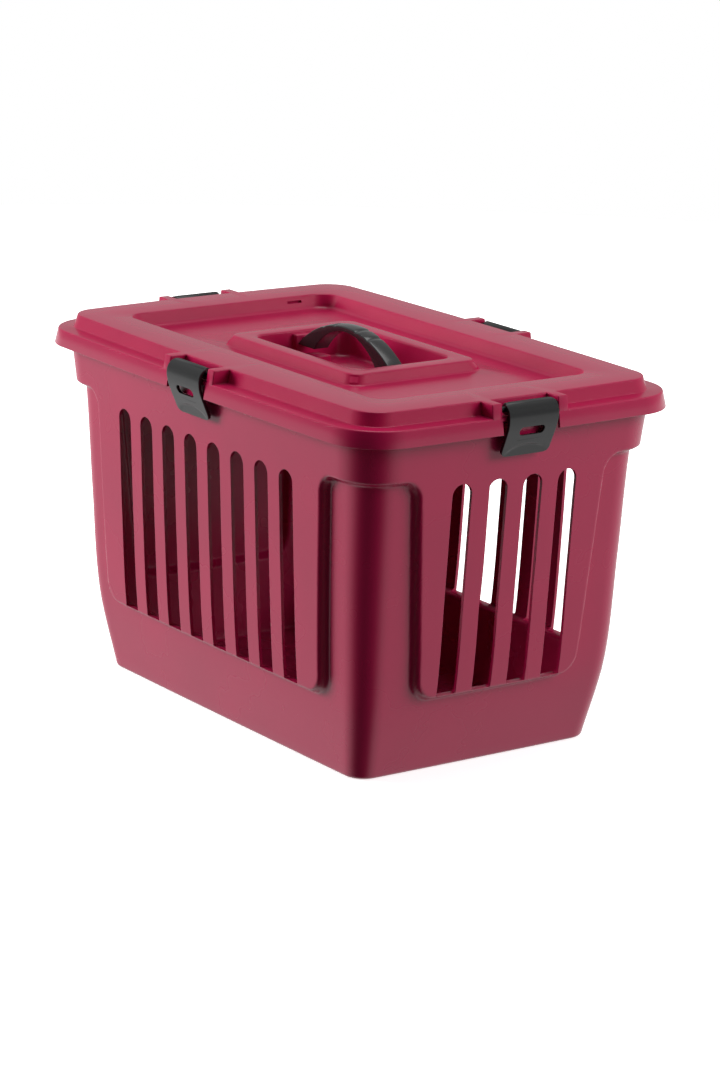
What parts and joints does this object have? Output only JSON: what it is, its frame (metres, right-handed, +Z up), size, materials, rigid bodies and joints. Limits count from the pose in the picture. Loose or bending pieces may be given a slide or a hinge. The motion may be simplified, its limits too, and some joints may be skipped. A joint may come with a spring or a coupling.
{
  "type": "pet carrier",
  "caption": "Pet carrier for small animals: slotted plastic tub, lift-off lid held by side clips, and a folding carry handle recessed in the lid.",
  "frame": {"origin": "centre of the flat base, on the ground", "axes": "+Z up, X along the long side with the slotted end at +X, Y across"},
  "size_m": [0.5054, 0.337, 0.3285],
  "materials": {
    "tub_plastic": "satin moulded polypropylene, raspberry red",
    "lid_plastic": "satin moulded polypropylene, raspberry red",
    "clip_plastic": "satin dark grey plastic",
    "handle_plastic": "glossy black plastic"
  },
  "bodies": {
    "tub": {"tub": "tub_plastic"},
    "lid": {"lid": "lid_plastic"},
    "handle": {"handle": "handle_plastic"},
    "clip_right": {"clip_right": "clip_plastic"},
    "clip_left": {"clip_left": "clip_plastic"},
    "clip_front": {"clip_front": "clip_plastic"},
    "clip_back": {"clip_back": "clip_plastic"}
  },
  "joints": [
    {"name": "lid_lift", "type": "slide", "parent": "tub", "child": "lid", "axis": [0, 0, 1], "range_m": [0, 0.06]},
    {"name": "handle_fold", "type": "hinge", "parent": "lid", "child": "handle", "pos_m": [0, 0, 0.303], "axis": [1, 0, 0], "range_deg": [-85, 85]},
    {"name": "clip_right_open", "type": "hinge", "parent": "lid", "child": "clip_right", "pos_m": [0.2435, 0, 0.3077], "axis": [0, -1, 0], "range_deg": [0, 90]},
    {"name": "clip_left_open", "type": "hinge", "parent": "lid", "child": "clip_left", "pos_m": [-0.2435, 0, 0.3077], "axis": [0, 1, 0], "range_deg": [0, 90]},
    {"name": "clip_front_open", "type": "hinge", "parent": "lid", "child": "clip_front", "pos_m": [0, -0.15925, 0.3077], "axis": [-1, 0, 0], "range_deg": [0, 90]},
    {"name": "clip_back_open", "type": "hinge", "parent": "lid", "child": "clip_back", "pos_m": [0, 0.15925, 0.3077], "axis": [1, 0, 0], "range_deg": [0, 90]}
  ]
}
